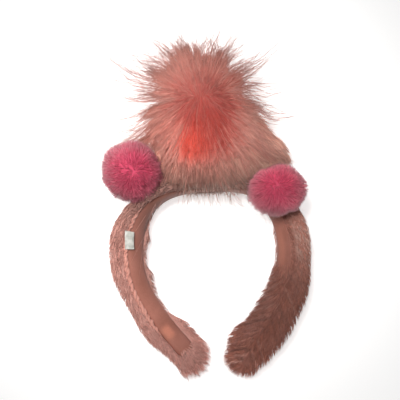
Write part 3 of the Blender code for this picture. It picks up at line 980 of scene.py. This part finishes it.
def under_fur(top):
    """The underside of the fur below points of its top."""
    x, y, z = top[..., 0], top[..., 1], top[..., 2]
    low = FAN_MIDDLE - (FAN_MIDDLE - FUR_UNDER) * fullness(x, y)
    low = np.maximum(low, mound_top(x, y) + 0.0006)
    return np.minimum(low, z - 0.0006)


def clear_of_pompoms(paths):
    """Fibres pushed out of the pompoms and the floor."""
    for centre, sizes, _ in POMPOMS.values():
        out = (paths - np.array(centre)) / np.array(sizes)
        far = np.linalg.norm(out, axis=-1, keepdims=True)
        paths = np.where(far < 1.05, centre + out / far * 1.05 * np.array(sizes), paths)
    paths[..., 2] = np.maximum(paths[..., 2], FLOOR)
    return paths


def fur_fibres(chance, count, angles):
    """Fibres combed away from the parting over the top of the fur, drawn together in locks of
    unlike lengths towards the edge."""
    t = np.linspace(0, 1, 5)[None]
    angle = chance.uniform(*angles, count)
    first = 0.84 * np.sqrt(chance.random(count))
    near = chance.random(count) < 0.12
    first = np.where(near, chance.uniform(-0.14, 0.14, count), first)
    tier = np.clip((first / 0.16).astype(int), 0, TIERS - 1) + TIERS * (chance.random(count) < 0.4)
    outermost = tier % TIERS == TIERS - 1
    width = 6.0 + 1.2 * (tier % TIERS)
    offset = chance.random(2 * TIERS)[tier]
    lock = np.floor(angle / width + offset)
    key = (lock.astype(int) * 2 * TIERS + tier) % LOCKS
    middle = (lock - offset + 0.5) * width
    middle += (chance.random(LOCKS)[key] - 0.5) * 0.7 * width
    last = first + chance.uniform(0.22, 0.46, count) * (1 - 0.35 * first)
    uneven = np.where(angle > 215, 0.22, 0.50)
    last *= np.where(outermost, 0.76 + uneven * chance.random(LOCKS)[key] ** 1.5, 1.0)
    last = np.maximum(last, first + 0.12)
    pinch = 0.15 + 0.65 * np.clip(first, 0, 1)
    sway = 9.0 * (chance.random(LOCKS)[key] - 0.5) + chance.normal(0, 1.5, count)
    share = first[:, None] + (last - first)[:, None] * t
    turned = angle[:, None] + ((middle - angle) * pinch)[:, None] * t ** 1.3
    turned = turned + sway[:, None] * t ** 2
    paths = fur_top(turned, share)
    deep = (first > 0.2) & (chance.random(count) < 0.4)
    depth = np.where(deep, chance.uniform(0.1, 1.0, count), 0.0)
    under = under_fur(paths)
    paths[..., 2] -= depth[:, None] * (paths[..., 2] - under)
    lift = chance.uniform(0.0004, 0.0018, count) + 0.0008 * chance.random(LOCKS)[key]
    paths[..., 2] += lift[:, None] * t - 0.0004
    paths += random_units(chance, count)[:, None] * (0.0008 * np.sin(3.0 * t))[..., None]
    return clear_of_pompoms(paths), key


def stray_hairs(chance, count):
    """Long hairs that stand out past the locks all round, in thin wisps. Those that would reach
    too far out of the box are left out."""
    t = np.linspace(0, 1, 5)[None]
    wisp = chance.integers(0, WISPS, count)
    angle = (wisp + chance.random(WISPS)[wisp]) * 360 / WISPS + chance.normal(0, 2.2, count)
    first = chance.uniform(0.35, 0.85, count)
    reach = 0.10 + 0.62 * chance.exponential(size=WISPS).clip(0, 2.4)[wisp]
    left = np.exp(-((angle - 190) / 25) ** 2)
    last = 1.10 + reach * (1 + 0.8 * left) * chance.uniform(0.5, 1.15, count)
    sway = chance.normal(0, 9, WISPS)[wisp] + chance.normal(0, 4, count)
    share = first[:, None] + (last - first)[:, None] * t
    turned = angle[:, None] + sway[:, None] * t ** 1.6
    paths = fur_top(turned, share)
    paths[..., 2] += chance.uniform(0.0005, 0.0050, count)[:, None] * t
    curl = random_units(chance, count)[:, None] * chance.uniform(0, 0.003, count)[:, None, None]
    paths = clear_of_pompoms(paths + curl * np.sin(4.0 * t)[..., None])
    low, high = np.array(CAD_BOX)
    ends = paths[:, -1]
    inside = ((ends > low - STRAY_ROOM) & (ends < high + STRAY_ROOM)).all(1)
    below = (ends[:, 1] < -0.014) & (abs(ends[:, 0]) < 0.040)
    return paths[inside & ~below]


def fur_body():
    """The mass of the fur under its locks, as points and faces."""
    segments, rings = 120, 26
    angle = np.arange(segments) * 360.0 / segments
    share = np.linspace(0.0, BODY_REACH, rings + 1)[1:]
    ridges = np.array([noise.noise(Vector((a / 5.0, 0.0, 2.0))) for a in angle])
    top = fur_top(angle[None], share[:, None])
    top[..., 2] += 0.0010 * ridges * share[:, None]
    under = top.copy()
    under[..., 2] = under_fur(top)
    high = fur_top(np.array([90.0]), np.array([0.0]))
    low = high.copy()
    low[..., 2] = under_fur(high)
    rows = [*top, *under[::-1]]
    verts = np.concatenate([high, *rows, low])
    faces = [(0, 1 + k, 1 + (k + 1) % segments) for k in range(segments)]
    for i in range(len(rows) - 1):
        for k in range(segments):
            a, b = 1 + i * segments + k, 1 + i * segments + (k + 1) % segments
            faces.append((a, a + segments, b + segments, b))
    base = 1 + (len(rows) - 1) * segments
    faces += [(len(verts) - 1, base + (k + 1) % segments, base + k) for k in range(segments)]
    return verts, [], faces


def fur_pieces():
    """The tuft: a fan that stands out above its crown, and a skirt that lies over the mound."""
    pale, deep, glow = (0.88, 0.50, 0.41), (0.70, 0.082, 0.062), (0.92, 0.10, 0.058)
    mesh = bpy.data.meshes.new("fur_body")
    mesh.from_pydata(*fur_body())
    points, _ = verts_and_normals(mesh)
    write_fact(mesh, "dye", fur_dye(points[:, 0], points[:, 1]))
    # Painted shade: the body under the fibres is darker than they are
    write_fact(mesh, "shade", 0.72 * fur_painted_shade(points[:, 0], points[:, 1]))
    body = add_piece("fur_body", mesh, backing_finish("fur backing", pale, deep, 240.0),
                     ["fur_tuft"])
    chance = np.random.default_rng(31)
    finish = pile_finish("coral fur", pale, deep, glow, 0.45)
    for name, angles in (("fur_fan", (-8, 188)), ("fur_skirt", (182, 358))):
        paths, key = fur_fibres(chance, FUR_FIBRES, angles)
        count = len(paths)
        x, y = paths[..., 0], paths[..., 1]
        own = 0.08 * chance.normal(size=(count, 1))
        own += 0.12 * (chance.random(LOCKS)[key][:, None] - 0.5)
        # One fibre in twenty-five is paler: painted glints
        own -= 0.5 * (chance.random((count, 1)) < 0.04)
        facts = {
            "strand": 0.5 * chance.random(count) + 0.5 * chance.random(LOCKS)[key],
            "dye": np.clip(fur_dye(x, y) + own, 0, 1),
            "glow": np.clip(fur_glow(x, y), 0, 1),
            "shade": fur_painted_shade(x, y),
        }
        mesh = fibre_mesh(name, paths, np.full(count, FUR_FIBRE), 0.4, facts)
        add_piece(name, mesh, finish)
    paths = stray_hairs(chance, STRAY_HAIRS)
    count, steps, _ = paths.shape
    facts = {"strand": chance.random(count), "dye": np.tile(np.linspace(0, 1, steps), (count, 1))}
    thickness = chance.uniform(0.00011, 0.00020, count)
    mesh = fibre_mesh("stray_hairs", paths, thickness, 0.3, facts)
    pale, deep = (0.78, 0.30, 0.24), (0.50, 0.27, 0.23)
    add_piece("stray_hairs", mesh, pile_finish("stray hair", pale, deep, glow, 0.45))


def pompom_pieces():
    """The pompoms: a dense core, and a short pile combed away from a parting on the front."""
    pale, deep, glow = (0.88, 0.53, 0.57), (0.68, 0.066, 0.145), (0.72, 0.052, 0.145)
    backing = backing_finish("pompom backing", pale, deep, 260.0)
    finish = pile_finish("pompom pile", pale, deep, glow, 0.5)
    for seed, (node, (centre, sizes, parting)) in enumerate(POMPOMS.items()):
        chance = np.random.default_rng(41 + seed)
        mesh = padding(node, node + "_core", 0.0018, 5, 0.0006, 0.006)
        points, _ = verts_and_normals(mesh)
        points = np.array(centre) + (points - np.array(centre)) * 0.90
        mesh.vertices.foreach_set("co", points.astype(np.float32).ravel())
        mesh.update()
        write_fact(mesh, "dye", np.ones(len(points)))
        write_fact(mesh, "shade", np.full(len(points), 0.8))
        body = add_piece(node + "_core", mesh, backing, [node])
        painted_brightness, fade, longest = POMPOM_PILE_AND_PAINTED_LIGHT[node]
        points, normals = scatter(mesh, POMPOM_FIBRES, chance)
        count = len(points)
        flow = points - np.array(parting)
        far = np.linalg.norm(flow, axis=1) / sizes[0]
        flow = unit(flow - normals * (flow * normals).sum(-1, keepdims=True))
        swirl = swirls(points, normals, 0.007)
        direction = unit(0.65 * normals + 0.70 * flow + 0.25 * swirl
                         + 0.08 * random_units(chance, count))
        bend = 0.15 * swirl - 0.12 * normals
        shaggy = np.clip(normals @ np.array(longest), 0, 1) ** 3
        lengths = POMPOM_PILE * chance.uniform(0.75, 1.15, count) * (1 + 1.3 * shaggy)
        paths = bent_paths(points, direction, bend, lengths, 3)
        tips = np.linspace(0, 1, 3)[None] * np.clip(0.14 + 0.85 * (far - 0.5), 0.0, 0.9)[:, None]
        facts = {
            "strand": chance.random(count),
            "dye": np.clip(1 - tips + 0.12 * swirl[:, 2:], 0, 1) - fade,
            # A painted highlight round the parting of the pile
            "glow": 0.8 * np.exp(-(far / 0.8) ** 2),
            # Painted light: each pompom's own brightness, lighter towards its top
            "shade": painted_brightness * (1 + 0.20 * swirl[:, 1] + 0.14 * normals[:, 1]),
        }
        mesh = fibre_mesh(node + "_pile", paths, np.full(count, POMPOM_FIBRE), 0.6, facts)
        add_piece(node + "_pile", mesh, finish)


def label_finish():
    """White woven ribbon: fine ribs both ways and a little grey where it has been handled."""
    finish = Finish("label ribbon", {"Roughness": 0.55, "Sheen Weight": 0.2})
    place = finish.place()
    warp = finish.node("ShaderNodeTexWave", {"bands_direction": "X"},
                       {"Vector": place, "Scale": 900.0}, "Fac")
    weft = finish.node("ShaderNodeTexWave", {"bands_direction": "Y"},
                       {"Vector": place, "Scale": 900.0}, "Fac")
    handled = finish.noise(300.0)
    colour = finish.ramp(handled, ((0.35, (0.42, 0.43, 0.39)), (0.65, (0.68, 0.68, 0.64))))
    finish.base(finish.scaled(colour, 0.9 + 0.1 * warp + 0.1 * weft))
    finish.bump(warp + weft, 0.3, 0.0001)
    return finish.material


def label_piece():
    """The folded label: both ends in the seam, a soft loop at the fold, lying on the plush."""
    half = LABEL_LENGTH / 2 / ROUTE.half_length
    rows = 24
    shares = np.linspace(-LABEL_AT - half, -LABEL_AT + half, rows)
    centre, run, across, inward = ROUTE.frames(shares)
    profile = []
    flat = LABEL_WIDTH - 0.0006
    for s in np.linspace(0, 1, 14):
        profile.append((s * flat, 0.0004 * math.sin(3 * s)))
    for s in np.linspace(0, math.pi, 9)[1:-1]:
        profile.append((flat + 0.0006 * math.sin(s), 0.0002 + 0.0007 * (1 - math.cos(s)) / 2))
    for s in np.linspace(1, 0, 14):
        profile.append((s * flat, 0.0009 + 0.0007 * math.sin(math.pi * s)))
    verts = []
    for i in range(rows):
        flutter = 0.0003 * math.sin(5.0 * i / rows)
        start = STRIP_WIDTH / 2 - LABEL_OVERHANG + LABEL_SKEW * (i / (rows - 1) - 0.5)
        low = BORDER_TOP + 0.0012 + (start - BORDER_ROLL) * BORDER_SLOPE
        for out, lift in profile:
            lift += low + BORDER_SLOPE * out + flutter * out / 0.007
            verts.append(centre[i] + across[i] * (start + out) + inward[i] * lift)
    each = len(profile)
    faces = [
        (i * each + k, i * each + k + 1, (i + 1) * each + k + 1, (i + 1) * each + k)
        for i in range(rows - 1) for k in range(each - 1)
    ]
    mesh = bpy.data.meshes.new("label_ribbon")
    mesh.from_pydata(np.array(verts), [], faces)
    piece = add_piece("label_ribbon", mesh, label_finish(), ["care_label"])
    solid = piece.modifiers.new("ribbon", "SOLIDIFY")
    solid.thickness = 0.0003
    solid.offset = 0.0


def floor_piece():
    """A wide pale floor a little under the headband."""
    finish = Finish("pale floor", {
        "Base Color": rgba((0.86, 0.86, 0.86)),
        "Roughness": 0.9,
        "Emission Color": rgba((1.0, 1.0, 1.0)),
        "Emission Strength": 0.60,
    })
    side = 3.0
    mesh = bpy.data.meshes.new("floor")
    mesh.from_pydata([(-side, -side, 0), (side, -side, 0), (side, side, 0), (-side, side, 0)],
                     [], [(0, 1, 2, 3)])
    mesh.materials.append(finish.material)
    floor = bpy.data.objects.new("floor", mesh)
    bpy.context.scene.collection.objects.link(floor)
    floor.location.z = -0.0003


def studio():
    """A soft lamp at the upper left whose light fades to the lower right, and a pale surround."""
    world = bpy.data.worlds.new("surround")
    bpy.context.scene.world = world
    world.use_nodes = True
    world.node_tree.nodes["Background"].inputs["Color"].default_value = (1.0, 0.99, 0.98, 1.0)
    world.node_tree.nodes["Background"].inputs["Strength"].default_value = 0.30
    lamp = bpy.data.lights.new("key", "SPOT")
    lamp.energy = 37.0
    lamp.color = (1.0, 0.98, 0.95)
    lamp.spot_size = math.radians(30.0)
    lamp.spot_blend = 1.0
    lamp.shadow_soft_size = 0.14
    key = bpy.data.objects.new("key", lamp)
    bpy.context.scene.collection.objects.link(key)
    key.location = (-0.14, 0.07, 0.66)
    aim = Vector((-0.040, 0.004, 0.02)) - key.location
    key.rotation_euler = aim.to_track_quat("-Z", "Y").to_euler()
    bpy.context.scene.view_settings.view_transform = "Standard"


def add_camera():
    """The photograph's view: almost straight down, turned a little."""
    target = Vector((-0.0073, -0.0301, 0.020))
    elevation = math.radians(82.0)
    back = Vector((0.0, -math.cos(elevation), math.sin(elevation)))
    up = Vector((0.058, 0.998, 0.0))
    up = (up - back * up.dot(back)).normalized()
    right = up.cross(back)
    distance = 0.6
    lens = bpy.data.cameras.new("camera")
    lens.lens = 67.5
    lens.sensor_width = 36.0
    lens.clip_start = 0.01
    camera = bpy.data.objects.new("camera", lens)
    bpy.context.scene.collection.objects.link(camera)
    turn = Matrix((right, up, back)).transposed()
    camera.matrix_world = Matrix.Translation(target + back * distance) @ turn.to_4x4()
    bpy.context.scene.camera = camera


add_camera()
studio()
floor_piece()
band_pieces()
seam_piece()
strip_piece()
mound_pieces()
pompom_pieces()
fur_pieces()
label_piece()
